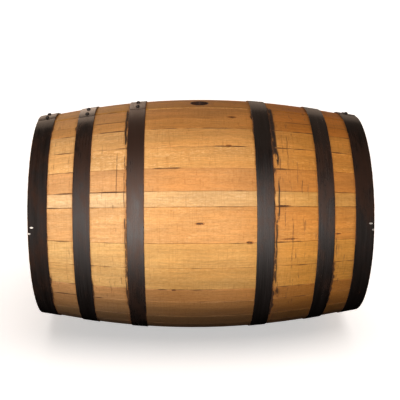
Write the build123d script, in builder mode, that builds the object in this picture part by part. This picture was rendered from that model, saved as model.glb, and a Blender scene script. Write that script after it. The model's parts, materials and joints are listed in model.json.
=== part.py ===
"""A 200 litre oak barrel on its side, bung up, built from separate staves, head boards and hoops.

Frame: millimetres. The origin is on the barrel's axis at mid length, +X runs along the axis to the
right head and +Z goes up through the bung. Angles round the axis start at +Y and turn towards +Z,
so the bung is at 90 degrees and the front of the barrel, towards -Y, is at 180.
"""

import os
from math import asin, atan, cos, degrees, hypot, radians, sin, sqrt, tan

from build123d import *

# Staves
LENGTH = 902  # end to end
BILGE_R = 330  # outside radius at mid length
BEND_R = 2010  # outside radius of a stave's bend along its length
STRAIGHT_X = 350  # the bend stops here, and the stave runs straight to its end
STAVE_T = 27
JOINT_GAP = 0.12  # between neighbouring staves at the bilge
ARRIS = 0.8  # the outer long edges are eased this much
RIM = 9  # flat ring that a standing barrel rests on
CHIME_BEVEL = 16  # how far the end's inner bevel runs in from the end
# Widths at the bilge, from the bung stave round the front, under the barrel and up the back.
STAVE_WIDTHS = (97, 63, 43, 64, 65, 62, 41, 95, 69, 68, 46, 72, 58, 84, 60, 50)
STAVE_WIDTHS += (77, 66, 54, 89, 62, 70, 48, 79, 59, 67, 73, 52, 85, 60, 45, 50.5)

# Heads, each held in a groove cut inside the staves' ends, the croze
CROZE_IN = 40  # groove centre to the staves' end
CROZE_DEPTH = 6
CROZE_FLOOR = 5  # groove width at its floor
CROZE_MOUTH = 11
HEAD_FIT = 0.2  # clearance all round the head's rim
HEAD_OUTER = 10  # groove centre to the head's outer face
HEAD_INNER = 14  # groove centre to the head's inner face
HEAD_BEVEL = 2.4  # the rim's bevels rise this much for each millimetre of thickness
BOARD_WIDTHS = (86, 92, 88, 90, 94, 82)
BOARD_GAP = 0.1
DOWEL_R = 4
DOWEL_LENGTH = 40
DOWEL_FIT = 0.05
DOWEL_HEIGHTS = (-105, 0, 105)

# Hoops: riveted strips, each flared to the slope of the staves under it
HOOP_T = 1.6
HOOP_FIT = 0.1  # clearance over the staves, and between the two layers of a lap
HOOP_INSET = 1  # the head hoops stop this far short of the staves' ends
LAP_DEG = 14
RAMP_DEG = 2.5  # where the strip climbs on to its own start
RAMP_CLEAR_DEG = 0.3
LAP_LIFT = HOOP_T + HOOP_FIT  # how far the lap's upper layer sits above the lower one
HEAD_HOOP_W = 51
HEAD_HOOP_X = LENGTH / 2 - HOOP_INSET - HEAD_HOOP_W / 2
# name: centre along X, width, angle of the lap's middle
HOOPS = {
    "left_head": (-HEAD_HOOP_X, HEAD_HOOP_W, 87),
    "left_quarter": (-310, 45, 93),
    "left_bilge": (-171, 45, 91),
    "right_bilge": (162, 46, 56),
    "right_quarter": (321, 45, 60),
    "right_head": (HEAD_HOOP_X, HEAD_HOOP_W, 76),
}

# Rivets, two to a lap, with a domed head outside and a flush countersunk tail inside
RIVET_R = 2.5
RIVET_FIT = 0.03
RIVET_PITCH = 44
RIVET_HEAD_R = 5.2
RIVET_HEAD_H = 3.2
RIVET_TAIL_R = 3.8
RIVET_TAIL_H = 1.2

# Bung, driven below the stave's face
BUNG_HOLE_R = 24  # at the outside of the stave
BUNG_TAPER = 0.06  # the hole narrows this much for each millimetre of depth
BUNG_RECESS = 11
BUNG_LENGTH = 30
BUNG_FIT = 0.03
BUNG_EDGE = 1.5
HOLE_LIP = 1.5

HALF = LENGTH / 2
SLOPE_ANGLE = asin(STRAIGHT_X / BEND_R)
SLOPE = tan(SLOPE_ANGLE)
STRAIGHT_R = BILGE_R - BEND_R * (1 - cos(SLOPE_ANGLE))  # outside radius where the bend stops
END_R = STRAIGHT_R - (HALF - STRAIGHT_X) * SLOPE
CROZE_X = HALF - CROZE_IN


def outside_r(x):
    """Outside radius of the staves at x."""
    x = abs(x)
    if x > STRAIGHT_X:
        return STRAIGHT_R - (x - STRAIGHT_X) * SLOPE
    return BILGE_R - BEND_R + sqrt(BEND_R**2 - x**2)


def outside_slope(x):
    """How fast the outside radius changes along X."""
    run = min(abs(x), STRAIGHT_X)
    slope = run / sqrt(BEND_R**2 - run**2)
    return -slope if x > 0 else slope


def inside_end_r(x):
    """Inside radius of the staves on the straight stretch near an end."""
    return outside_r(x) - STAVE_T / cos(SLOPE_ANGLE)


CROZE_R = inside_end_r(CROZE_X) + CROZE_DEPTH
HEAD_R = CROZE_R - HEAD_FIT


def radial_plane(angle):
    """The plane through the barrel's axis at an angle: its x runs along the axis and its y outwards."""
    turn = radians(angle)
    return Plane(origin=(0, 0, 0), x_dir=(1, 0, 0), z_dir=(0, -sin(turn), cos(turn)))


def stave_end(side):
    """Corners of a stave's section at one end, from the outside round to the inside."""
    corners = [
        (HALF, END_R),
        (HALF, END_R - RIM),
        (HALF - CHIME_BEVEL, inside_end_r(HALF - CHIME_BEVEL)),
        (CROZE_X + CROZE_MOUTH / 2, inside_end_r(CROZE_X + CROZE_MOUTH / 2)),
        (CROZE_X + CROZE_FLOOR / 2, CROZE_R),
        (CROZE_X - CROZE_FLOOR / 2, CROZE_R),
        (CROZE_X - CROZE_MOUTH / 2, inside_end_r(CROZE_X - CROZE_MOUTH / 2)),
        (STRAIGHT_X - STAVE_T * sin(SLOPE_ANGLE), STRAIGHT_R - STAVE_T * cos(SLOPE_ANGLE)),
    ]
    return [(side * x, r) for x, r in corners]


def is_outer_long_edge(edge):
    """True for the long edges where a stave's outside face meets its joints."""
    middle = edge.position_at(0.5)
    on_outside = abs(hypot(middle.Y, middle.Z) - outside_r(middle.X)) < 0.01
    return on_outside and abs(edge.tangent_at(0.5).X) > 0.9


def make_stave(start, sweep, bung_hole=False):
    """One stave, from an angle round the axis and as wide as its sweep."""
    gap = degrees(JOINT_GAP / BILGE_R)
    right, left = stave_end(1), stave_end(-1)
    with BuildPart() as stave:
        with BuildSketch(radial_plane(start + gap / 2)):
            with BuildLine():
                Line((STRAIGHT_X, STRAIGHT_R), right[0])
                Polyline(*right)
                ThreePointArc(right[-1], (0, BILGE_R - STAVE_T), left[-1])
                Polyline(*left)
                Line(left[0], (-STRAIGHT_X, STRAIGHT_R))
                ThreePointArc((-STRAIGHT_X, STRAIGHT_R), (0, BILGE_R), (STRAIGHT_X, STRAIGHT_R))
            make_face()
        revolve(axis=Axis.X, revolution_arc=sweep - gap)
        chamfer(stave.edges().filter_by(is_outer_long_edge), length=ARRIS)
        if bung_hole:
            depth = STAVE_T + 1
            with BuildSketch(Plane.XZ):
                with BuildLine():
                    Polyline(
                        (0, BILGE_R + 1),
                        (BUNG_HOLE_R + HOLE_LIP + 1, BILGE_R + 1),
                        (BUNG_HOLE_R - HOLE_LIP * BUNG_TAPER, BILGE_R - HOLE_LIP),
                        (BUNG_HOLE_R - depth * BUNG_TAPER, BILGE_R - depth),
                        (0, BILGE_R - depth),
                        close=True,
                    )
                make_face()
            revolve(axis=Axis.Z, mode=Mode.SUBTRACT)
    return stave.part


def make_bung():
    """The tapered plug in the bung stave's hole."""
    top = BILGE_R - BUNG_RECESS
    top_r = BUNG_HOLE_R - BUNG_RECESS * BUNG_TAPER - BUNG_FIT
    with BuildPart() as bung:
        with Locations((0, 0, top)):
            Cone(
                bottom_radius=top_r - BUNG_LENGTH * BUNG_TAPER,
                top_radius=top_r,
                height=BUNG_LENGTH,
                align=(Align.CENTER, Align.CENTER, Align.MAX),
            )
        chamfer(bung.edges().filter_by(GeomType.CIRCLE), length=BUNG_EDGE)
    return bung.part


def board_edges():
    """The Y of every edge line across a head, from its first board to its last."""
    scale = 2 * HEAD_R / sum(BOARD_WIDTHS)
    edges = [-HEAD_R]
    for width in BOARD_WIDTHS:
        edges.append(edges[-1] + width * scale)
    return edges


def dowel_spots(side, joint_y):
    """Centres of the dowels across one joint of a head."""
    x = side * (CROZE_X + (HEAD_OUTER - HEAD_INNER) / 2)
    return [(x, joint_y, z) for z in DOWEL_HEIGHTS]


def make_head_board(side, low_y, high_y):
    """One board of a head: the slice of a bevelled disc between two joints, drilled for its dowels."""
    tongue = CROZE_FLOOR / 2 - HEAD_FIT
    outer_r = HEAD_R - (HEAD_OUTER - tongue) * HEAD_BEVEL
    inner_r = HEAD_R - (HEAD_INNER - tongue) * HEAD_BEVEL
    rim = [
        (CROZE_X + HEAD_OUTER, 0),
        (CROZE_X + HEAD_OUTER, outer_r),
        (CROZE_X + tongue, HEAD_R),
        (CROZE_X - tongue, HEAD_R),
        (CROZE_X - HEAD_INNER, inner_r),
        (CROZE_X - HEAD_INNER, 0),
    ]
    first = low_y <= -HEAD_R + BOARD_GAP
    last = high_y >= HEAD_R - BOARD_GAP
    with BuildPart() as board:
        with BuildSketch(Plane.XY):
            with BuildLine():
                Polyline(*[(side * x, r) for x, r in rim], close=True)
            make_face()
        revolve(axis=Axis.X)
        if not first:
            split(bisect_by=Plane.XZ.offset(-low_y - BOARD_GAP / 2), keep=Keep.BOTTOM)
        if not last:
            split(bisect_by=Plane.XZ.offset(-high_y + BOARD_GAP / 2), keep=Keep.TOP)
        joints = [y for y, at_rim in ((low_y, first), (high_y, last)) if not at_rim]
        with Locations(*[spot for y in joints for spot in dowel_spots(side, y)]):
            Cylinder(
                radius=DOWEL_R + DOWEL_FIT,
                height=DOWEL_LENGTH + 2 * DOWEL_FIT,
                rotation=(90, 0, 0),
                mode=Mode.SUBTRACT,
            )
    return board.part


def make_dowels(side):
    """All the dowels of one head, as separate solids."""
    with BuildPart() as dowels:
        joints = board_edges()[1:-1]
        with Locations(*[spot for y in joints for spot in dowel_spots(side, y)]):
            Cylinder(radius=DOWEL_R, height=DOWEL_LENGTH, rotation=(90, 0, 0))
    return dowels.part


def hoop_section(x, width, lift):
    """Corners of a hoop strip's section, raised by lift above the staves' surface."""
    low = outside_r(x) + HOOP_FIT + lift
    rise = outside_slope(x) * width / 2
    return [
        (x - width / 2, low - rise),
        (x + width / 2, low + rise),
        (x + width / 2, low + rise + HOOP_T),
        (x - width / 2, low - rise + HOOP_T),
    ]


def rivet_planes(x, lap_middle):
    """Planes on the lap's outside face at its two rivets, with z pointing out of the face."""
    face_r = outside_r(x) + HOOP_FIT + LAP_LIFT + HOOP_T
    half_pitch = degrees(RIVET_PITCH / 2 / face_r)
    planes = []
    for angle in (lap_middle - half_pitch, lap_middle + half_pitch):
        turn = radians(angle)
        outwards = Vector(-outside_slope(x), cos(turn), sin(turn))
        origin = (x, face_r * cos(turn), face_r * sin(turn))
        planes.append(Plane(origin=origin, x_dir=(0, -sin(turn), cos(turn)), z_dir=outwards))
    return planes


def rivet_depth(x):
    """Thickness of the two layers under a rivet's head, square to the lap's face."""
    return (2 * HOOP_T + HOOP_FIT) * cos(atan(outside_slope(x)))


def rivet_outline(x, grow=0):
    """Tail and shank of a rivet as a half section from the tail up, made larger by grow for its hole."""
    depth = rivet_depth(x)
    return [
        (RIVET_TAIL_R + grow, -depth),
        (RIVET_R + grow, -depth + RIVET_TAIL_H),
        (RIVET_R + grow, 0),
    ]


def across(plane):
    """The plane that a rivet's half section is drawn in: x across the rivet, y along it."""
    return Plane(origin=plane.origin, x_dir=plane.x_dir, z_dir=-plane.y_dir)


def make_hoop(x, width, lap_middle):
    """One hoop: a strip that goes once round and ends in a lap over its own start."""
    start = lap_middle - LAP_DEG / 2
    climb = start - RAMP_CLEAR_DEG
    stretches = (
        (0, start, 360 - RAMP_DEG - RAMP_CLEAR_DEG),
        (LAP_LIFT, climb, LAP_DEG + RAMP_CLEAR_DEG),
    )
    with BuildPart() as hoop:
        for height, from_angle, sweep in stretches:
            with BuildSketch(radial_plane(from_angle)):
                Polygon(*hoop_section(x, width, height), align=None)
            revolve(axis=Axis.X, revolution_arc=sweep)
        for height, at_angle in ((0, climb - RAMP_DEG), (LAP_LIFT, climb)):
            with BuildSketch(radial_plane(at_angle)):
                Polygon(*hoop_section(x, width, height), align=None)
        loft(ruled=True)
        for plane in rivet_planes(x, lap_middle):
            below, above = -rivet_depth(x) - HOOP_T, HOOP_T
            with BuildSketch(across(plane)):
                Polygon(
                    (0, below),
                    (RIVET_TAIL_R + RIVET_FIT, below),
                    *rivet_outline(x, RIVET_FIT),
                    (RIVET_R + RIVET_FIT, above),
                    (0, above),
                    align=None,
                )
            revolve(axis=Axis(plane.origin, plane.z_dir), mode=Mode.SUBTRACT)
    return hoop.part


def make_rivets(x, lap_middle):
    """The two rivets of one lap, as separate solids."""
    dome_r = (RIVET_HEAD_R**2 + RIVET_HEAD_H**2) / (2 * RIVET_HEAD_H)
    half_dome = asin(RIVET_HEAD_R / dome_r) / 2
    on_dome = (dome_r * sin(half_dome), RIVET_HEAD_H - dome_r * (1 - cos(half_dome)))
    with BuildPart() as rivets:
        for plane in rivet_planes(x, lap_middle):
            with BuildSketch(across(plane)):
                with BuildLine():
                    Polyline((0, RIVET_HEAD_H), (0, -rivet_depth(x)), *rivet_outline(x), (RIVET_HEAD_R, 0))
                    ThreePointArc((RIVET_HEAD_R, 0), on_dome, (0, RIVET_HEAD_H))
                make_face()
            revolve(axis=Axis(plane.origin, plane.z_dir))
    return rivets.part


def save(part, name):
    """Labels a finished piece and writes it as its own file."""
    part.label = name
    export_step(part, f"parts/{name}.step")


os.makedirs("parts", exist_ok=True)

degrees_per_mm = 360 / sum(STAVE_WIDTHS)
angle = 90 - STAVE_WIDTHS[0] * degrees_per_mm / 2
for number, stave_width in enumerate(STAVE_WIDTHS, start=1):
    sweep = stave_width * degrees_per_mm
    if number == 1:
        save(make_stave(angle, sweep, bung_hole=True), "bung_stave")
    else:
        save(make_stave(angle, sweep), f"stave_{number:02d}")
    angle += sweep

save(make_bung(), "bung")

edges = board_edges()
for side_name, side in (("left", -1), ("right", 1)):
    for number in range(len(BOARD_WIDTHS)):
        board = make_head_board(side, edges[number], edges[number + 1])
        save(board, f"{side_name}_head_board_{number + 1}")
    save(make_dowels(side), f"{side_name}_head_dowels")

for name, (x, width, lap_middle) in HOOPS.items():
    save(make_hoop(x, width, lap_middle), f"{name}_hoop")
    save(make_rivets(x, lap_middle), f"{name}_hoop_rivets")
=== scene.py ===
"""The looks of a 200 litre oak barrel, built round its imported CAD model.

Metres, in the CAD's own frame: the barrel lies along X, its bung is up (+Z) and its front faces -Y.
Angles go round the axis from +Y towards +Z, so the bung is at 90 degrees and the front at 180.
The wood is only ever carved inwards from the CAD's, so each piece stays clear of its neighbours.
"""

import json
from math import acos, atan2, cos, degrees, hypot, radians, sin, sqrt, tau

import bmesh
import bpy
import numpy as np
from mathutils import Matrix, Vector

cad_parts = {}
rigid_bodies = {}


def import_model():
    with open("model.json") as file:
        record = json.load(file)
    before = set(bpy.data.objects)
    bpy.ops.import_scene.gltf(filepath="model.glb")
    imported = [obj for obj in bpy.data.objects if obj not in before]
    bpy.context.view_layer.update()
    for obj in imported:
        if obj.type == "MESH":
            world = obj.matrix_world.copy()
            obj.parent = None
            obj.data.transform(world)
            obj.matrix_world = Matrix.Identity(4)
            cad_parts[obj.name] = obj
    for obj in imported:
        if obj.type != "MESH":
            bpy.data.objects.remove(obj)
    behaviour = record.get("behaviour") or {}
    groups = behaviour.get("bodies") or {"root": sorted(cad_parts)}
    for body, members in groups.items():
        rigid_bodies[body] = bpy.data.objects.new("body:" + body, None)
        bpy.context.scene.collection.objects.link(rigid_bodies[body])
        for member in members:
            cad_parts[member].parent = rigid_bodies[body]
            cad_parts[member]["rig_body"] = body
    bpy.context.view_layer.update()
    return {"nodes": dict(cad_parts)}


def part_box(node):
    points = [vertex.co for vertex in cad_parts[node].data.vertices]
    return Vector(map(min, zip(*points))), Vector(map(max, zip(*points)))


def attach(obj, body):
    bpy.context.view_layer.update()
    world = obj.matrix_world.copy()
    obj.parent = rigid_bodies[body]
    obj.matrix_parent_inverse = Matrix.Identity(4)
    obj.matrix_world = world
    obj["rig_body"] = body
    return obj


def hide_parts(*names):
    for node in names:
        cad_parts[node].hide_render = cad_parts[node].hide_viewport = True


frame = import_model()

nodes = frame["nodes"]

MM = 0.001
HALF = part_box("bung_stave")[1].x

# The staves' section along the barrel, as the CAD has it
BEND_R = 2010 * MM  # outside radius of a stave's bend
STRAIGHT_X = 350 * MM  # from here to its end a stave runs straight
STAVE_T = 27 * MM
RIM = 9 * MM
CHIME_BEVEL = 16 * MM
CROZE_X = HALF - 40 * MM
CROZE_DEPTH = 6 * MM
CROZE_FLOOR = 5 * MM
CROZE_MOUTH = 11 * MM

# Heads
HEAD_FIT = 0.2 * MM
HEAD_OUTER = 10 * MM
HEAD_INNER = 14 * MM
HEAD_BEVEL = 2.4  # how much radius the bevels lose for their height

# Hoops and rivets
HOOP_T = 1.6 * MM
HOOP_FIT = 0.1 * MM
LAP_LIFT = HOOP_T + HOOP_FIT
LAP_DEG = 14
RAMP_DEG = 2.5
RAMP_CLEAR_DEG = 0.3
LAP_CORNER = 7 * MM
LAP_THINNED = 14 * MM  # the lap's end is thinner over this length
LAP_THINNING = 0.75
RIVET_PITCH = 44 * MM
RIVET_R = 2.5 * MM
RIVET_HEAD_R = 5.5 * MM
DOME_H = 4.8 * MM  # hammered heads stand a little prouder than the CAD's
RIVET_TAIL_R = 3.8 * MM
RIVET_TAIL_H = 1.2 * MM

# Bung
BUNG_HOLE_R = 24 * MM
BUNG_TAPER = 0.06
BUNG_EDGE = 1.5 * MM


def cad_points(node):
    """A CAD node's vertices as an array of positions."""
    mesh = nodes[node].data
    points = np.empty(len(mesh.vertices) * 3)
    mesh.vertices.foreach_get("co", points)
    return points.reshape(-1, 3)


BILGE_R = np.hypot(*cad_points("bung_stave").T[1:]).max()
END_SLOPE = STRAIGHT_X / sqrt(BEND_R**2 - STRAIGHT_X**2)
CROZE_GROWTH = (CROZE_MOUTH - CROZE_FLOOR) / 2


def outside_r(x):
    """Outside radius of the staves at x."""
    run = np.minimum(np.abs(x), STRAIGHT_X)
    return BILGE_R - BEND_R + np.sqrt(BEND_R**2 - run**2) - (np.abs(x) - run) * END_SLOPE


def outside_slope(x):
    """How fast the outside radius changes along X."""
    run = np.clip(x, -STRAIGHT_X, STRAIGHT_X)
    return -run / np.sqrt(BEND_R**2 - run**2)


def inside_r(x):
    """Inside radius of the staves at x, with the croze groove and the chime's bevel."""
    plain = outside_r(x) - STAVE_T * np.hypot(1, outside_slope(x))
    groove = np.clip((CROZE_MOUTH / 2 - np.abs(np.abs(x) - CROZE_X)) / CROZE_GROWTH, 0, 1) * CROZE_DEPTH
    bevel_x = HALF - CHIME_BEVEL
    bevel_r = outside_r(bevel_x) - STAVE_T * hypot(1, outside_slope(bevel_x))
    bevel = np.interp(np.abs(x), [bevel_x, HALF], [bevel_r, outside_r(HALF) - RIM])
    return np.where(np.abs(x) > bevel_x, bevel, plain + groove)


def wander(t, seed, *lengths):
    """A smooth random wave between about -1 and 1: a sum of sines of the given lengths."""
    rng = np.random.default_rng(seed)
    total = 0
    for length in lengths:
        total = total + np.sin(tau * (np.asarray(t) / (length * rng.uniform(0.85, 1.15)) + rng.random()))
    return total / sqrt(len(lengths))


def vectors(*parts):
    """One array of vectors from arrays, or numbers, for their parts."""
    return np.stack(np.broadcast_arrays(*parts), -1)


def around(x, angle, r):
    """Positions at x, an angle in degrees and a radius."""
    turn = np.radians(angle)
    return vectors(x, r * np.cos(turn), r * np.sin(turn))


def degrees_apart(angle, other):
    """The signed turn from one angle to another, between -180 and 180."""
    return (angle - other + 180) % 360 - 180


# ---------------- pieces

SHARP = radians(38)


def place_in_scene(name, data):
    """A new object of this data, linked to the scene."""
    made = bpy.data.objects.new(name, data)
    bpy.context.scene.collection.objects.link(made)
    return made


def piece(name, mesh, stands_for, material, colour, figure=0.4):
    """Makes an object of a mesh that stands for a CAD node and rides with it."""
    mesh.name = name
    made = place_in_scene(name, mesh)
    mesh.materials.append(material)
    mesh.polygons.foreach_set("use_smooth", [True] * len(mesh.polygons))
    mesh.set_sharp_from_angle(angle=SHARP)
    made.color = (*colour, figure)
    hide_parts(stands_for)
    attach(made, nodes[stands_for]["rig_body"])


def tube(rings, fields=None):
    """A closed mesh from rings of points, each joined to the next, with flat caps on both ends.

    rings is an array (rings, points, 3); fields holds vectors for the shaders, in arrays like it."""
    count, points = rings.shape[:2]
    row = np.arange(points)
    faces = []
    for i in range(count - 1):
        a, b = i * points + row, i * points + np.roll(row, -1)
        faces += np.stack([a, b, b + points, a + points], 1).tolist()
    faces.append(row[::-1].tolist())
    faces.append(((count - 1) * points + row).tolist())
    mesh = bpy.data.meshes.new("tube")
    mesh.from_pydata(rings.reshape(-1, 3).tolist(), [], faces)
    for name, values in (fields or {}).items():
        layer = mesh.attributes.new(name, "FLOAT_VECTOR", "POINT")
        layer.data.foreach_set("vector", np.ascontiguousarray(values, np.float32).ravel())
    tidy = bmesh.new()
    tidy.from_mesh(mesh)
    bmesh.ops.remove_doubles(tidy, verts=tidy.verts, dist=2e-6)
    bmesh.ops.recalc_face_normals(tidy, faces=tidy.faces)
    tidy.to_mesh(mesh)
    tidy.free()
    return mesh


def joined(meshes):
    """Several meshes as one."""
    whole = bmesh.new()
    for mesh in meshes:
        whole.from_mesh(mesh)
    whole.to_mesh(meshes[0])
    whole.free()
    return meshes[0]


# ---------------- shaders


class Value:
    """A number in a node tree. Arithmetic on it adds nodes to the tree."""

    def __init__(self, look, socket):
        self.look = look
        self.socket = socket

    def __add__(self, other):
        return self.look.math("ADD", self, other)

    def __sub__(self, other):
        return self.look.math("SUBTRACT", self, other)

    def __rsub__(self, other):
        return self.look.math("SUBTRACT", other, self)

    def __mul__(self, other):
        return self.look.math("MULTIPLY", self, other)

    def __truediv__(self, other):
        return self.look.math("DIVIDE", self, other)

    def __abs__(self):
        return self.look.math("ABSOLUTE", self)


class Look:
    """A material or a world under construction: each method adds nodes and gives an output."""

    def __init__(self, owner):
        owner.use_nodes = True
        self.owner = owner
        self.tree = owner.node_tree

    def feed(self, socket, value):
        if isinstance(value, Value):
            value = value.socket
        if isinstance(value, bpy.types.NodeSocket):
            self.tree.links.new(value, socket)
        elif isinstance(value, tuple) and len(value) == 3 and socket.type == "RGBA":
            socket.default_value = (*value, 1)
        else:
            socket.default_value = value

    def surface(self, name, value):
        """Sets one of the material's main inputs."""
        self.feed(self.tree.nodes["Principled BSDF"].inputs[name], value)

    def add(self, kind, inputs, **settings):
        node = self.tree.nodes.new("ShaderNode" + kind)
        for name, value in settings.items():
            setattr(node, name, value)
        for key, value in inputs.items():
            self.feed(node.inputs[key], value)
        return node

    def math(self, operation, *values):
        return Value(self, self.add("Math", dict(enumerate(values)), operation=operation).outputs[0])

    def vector_math(self, operation, *values):
        return self.add("VectorMath", dict(enumerate(values)), operation=operation).outputs

    def step(self, value, start, end, low=0.0, high=1.0):
        """Goes smoothly from low to high while value goes from start to end."""
        inputs = {"Value": value, "From Min": start, "From Max": end, "To Min": low, "To Max": high}
        return Value(self, self.add("MapRange", inputs, interpolation_type="SMOOTHSTEP").outputs[0])

    def blend(self, share, a, b, kind="MIX"):
        """Mixes two colours."""
        return self.add("Mix", {0: share, 6: a, 7: b}, data_type="RGBA", blend_type=kind).outputs[2]

    def tint(self, colour, amount, factor):
        """Multiplies a colour by factor where amount is 1."""
        return self.blend(amount, colour, factor, "MULTIPLY")

    def scaled(self, colour, factor):
        """Multiplies a colour by a number."""
        return self.add("VectorMath", {0: colour, "Scale": factor}, operation="SCALE").outputs[0]

    def noise(self, vector, per_metre, detail=2.0, rough=0.5, warp=0.0):
        """Noise with about this many humps a metre along each axis."""
        stretched = self.vector_math("MULTIPLY", vector, per_metre)[0]
        inputs = {"Vector": stretched, "Scale": 1.0, "Detail": detail, "Roughness": rough, "Distortion": warp}
        return Value(self, self.add("TexNoise", inputs).outputs[0])

    def length(self, vector):
        return Value(self, self.vector_math("LENGTH", vector)["Value"])

    def vector(self, *parts):
        return self.add("CombineXYZ", dict(enumerate(parts))).outputs[0]

    def parts(self, vector):
        return [Value(self, part) for part in self.add("SeparateXYZ", {0: vector}).outputs]

    def field(self, name):
        """A vector that the mesh holds at each point."""
        return self.add("Attribute", {}, attribute_name=name).outputs["Vector"]

    def place(self):
        """The point in the barrel's own frame."""
        return self.add("TexCoord", {}).outputs["Object"]

    def bump(self, height, distance):
        self.surface("Normal", self.add("Bump", {"Height": height, "Distance": distance}).outputs[0])


def metres(rows, *columns):
    """The rows of a table, with these columns turned from millimetres into metres."""
    return [[v * MM if i in columns else v for i, v in enumerate(row)] for row in rows]


# Dark knots and spots: x, angle, length along the grain, height across it
KNOTS = [
    (-7, 164.6, 17, 4.5),
    (121, 173.4, 13, 6),
    (85, 107.6, 17, 7),
    (-74, 197.5, 9, 4),
    (71, 127.6, 11, 5),
    (224, 172.2, 30, 2.5),
    (208, 156.6, 26, 2.5),
    (352, 170.6, 12, 3),
    (-60, 64.0, 16, 5),
    (180, 20.0, 14, 5),
    (-250, 350.0, 12, 4),
]
KNOTS = metres(KNOTS, 0, 2, 3)

# Dark strokes round the staves: x, first and last angle, half width, strength, how far they wander
STROKES = [
    (193, 96, 132, 4.2, 1.1, 0.9),
    (197, 130, 137, 3.0, 1.1, 0.3),
    (197, 145, 163, 1.7, 1.0, 0.7),
    (191, 162, 196, 2.3, 0.9, 0.9),
    (199, 197, 204, 4.0, 0.85, 1.4),
    (213, 118, 132, 0.7, 0.64, 0.8),
    (213, 150, 168, 0.7, 0.69, 0.8),
    (225, 119, 142, 0.7, 0.74, 1.1),
    (232, 160, 187, 0.9, 0.69, 1.1),
    (246, 166, 180, 0.6, 0.46, 1.1),
    (258, 143, 151, 0.9, 0.74, 1.4),
    (260, 158, 171, 0.6, 0.46, 0.8),
    (281, 133, 139, 0.8, 0.46, 0.8),
    (350, 171, 181, 1.0, 0.74, 1.7),
    (356, 190, 196, 0.8, 0.55, 1.1),
    (-198, 97, 126, 2.4, 1.05, 0.8),
    (-199, 130, 158, 1.0, 0.75, 0.8),
    (-197, 160, 204, 1.7, 0.85, 0.8),
    (-219, 131, 152, 0.8, 0.78, 0.4),
    (-232, 136, 148, 0.6, 0.41, 0.8),
    (-289, 172, 186, 0.6, 0.41, 1.1),
    (-345, 128, 140, 0.7, 0.51, 0.8),
    (-385, 118, 150, 0.8, 0.51, 0.8),
    (-350, 176, 196, 0.8, 0.46, 1.7),
    (-200, 215, 300, 1.2, 0.64, 1.1),
    (196, 220, 330, 1.8, 0.8, 1.1),
    (228, 10, 32, 0.8, 0.64, 1.1),
    (-230, 30, 62, 0.8, 0.64, 1.1),
    (-203, -20, 60, 2.0, 0.9, 0.8),
    (197, -40, 84, 2.0, 0.9, 0.8),
    (262, 300, 322, 0.7, 0.55, 1.1),
]
STROKES = metres(STROKES, 0, 3, 5)

# Colours that the wood is multiplied by
WARM_PATCH = (1.0, 0.87, 0.70)
WORN_DARK = (0.90, 0.85, 0.77)
WORN_PALE = (1.07, 1.10, 1.15)
PLANED = (0.90, 0.85, 0.78)
FLECK = (1.20, 1.36, 1.75)
PORE = (0.62, 0.50, 0.40)
NICK = (0.62, 0.50, 0.42)
# Painted sheen: paler, bluer wood to the left, for the glare and stronger light there
PAINTED_SHEEN_LEFT = (1.06, 1.16, 1.42)
TANNED_RIGHT = (0.94, 0.785, 0.43)
# Painted shade: darkens the wood towards the bottom, where the underside is in shade
PAINTED_UNDERSIDE_SHADE = (0.30, 0.31, 0.38)
KNOT_HALO = (0.66, 0.50, 0.36)

# Colours that cover the wood
LINE_STAIN = (0.085, 0.036, 0.015)
BLACK_STAIN = (0.016, 0.009, 0.007)
DARK_STAIN = (0.030, 0.016, 0.010)
RUST_STAIN = (0.26, 0.085, 0.018)
SCRATCH_DIRT = (0.15, 0.062, 0.022)
JOINT_DIRT = (0.085, 0.034, 0.013)
# Pale edge: worn raw wood, and a painted highlight along the bung stave's arris
PALE_EDGE_AND_HIGHLIGHT = (0.78, 0.44, 0.17)
KNOT = (0.030, 0.012, 0.006)
WINE_STAIN = (0.014, 0.007, 0.006)
SPILT_WINE = (0.16, 0.065, 0.030)
TOAST = (0.055, 0.028, 0.014)


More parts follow.
